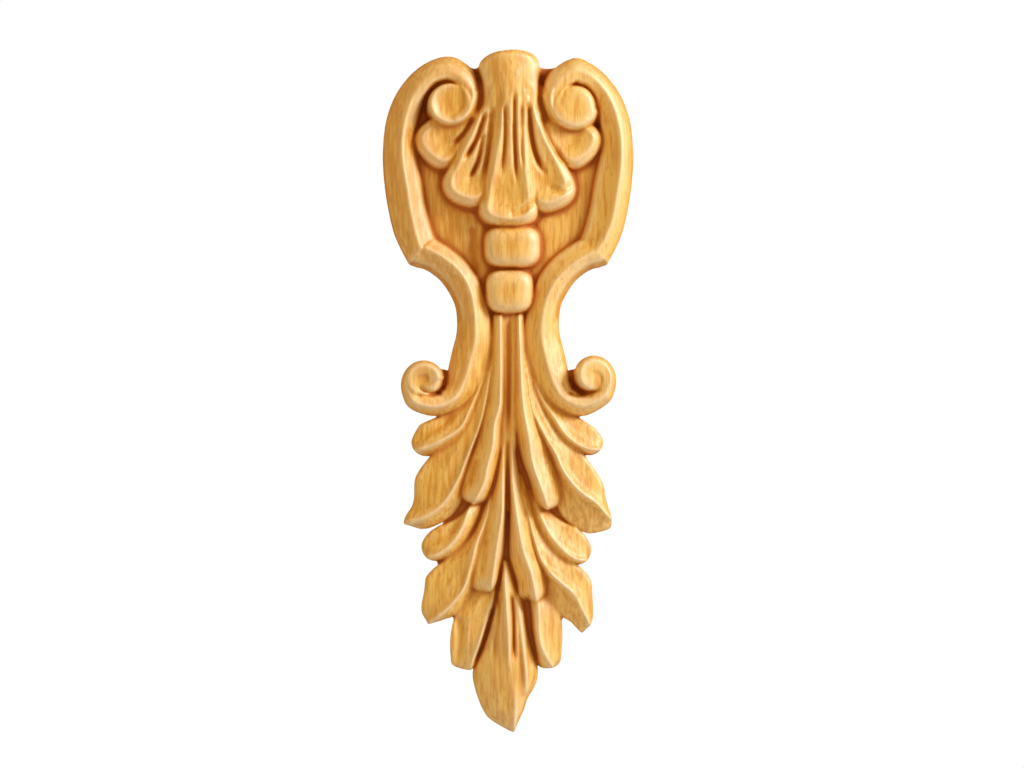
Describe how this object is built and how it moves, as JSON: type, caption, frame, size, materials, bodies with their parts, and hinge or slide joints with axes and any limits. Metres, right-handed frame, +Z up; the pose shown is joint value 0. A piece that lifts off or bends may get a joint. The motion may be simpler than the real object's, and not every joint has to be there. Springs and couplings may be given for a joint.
{
  "type": "pilaster capital",
  "caption": "Carved wooden pilaster capital with mirrored scrolls, a fluted shell, hanging beads and a tapering spray of acanthus leaves on a flat back.",
  "frame": {"origin": "on the flat back, midway across its width and midway up its height", "axes": "+Y out of the flat back into the surface it is fixed to, +Z up, +X to the right seen from the front"},
  "size_m": [0.0944, 0.019, 0.2554],
  "materials": {
    "carved_wood": "bare light hardwood, satin, darker in the recesses"
  },
  "bodies": {
    "root": {"carved_capital": "carved_wood"}
  },
  "joints": []
}
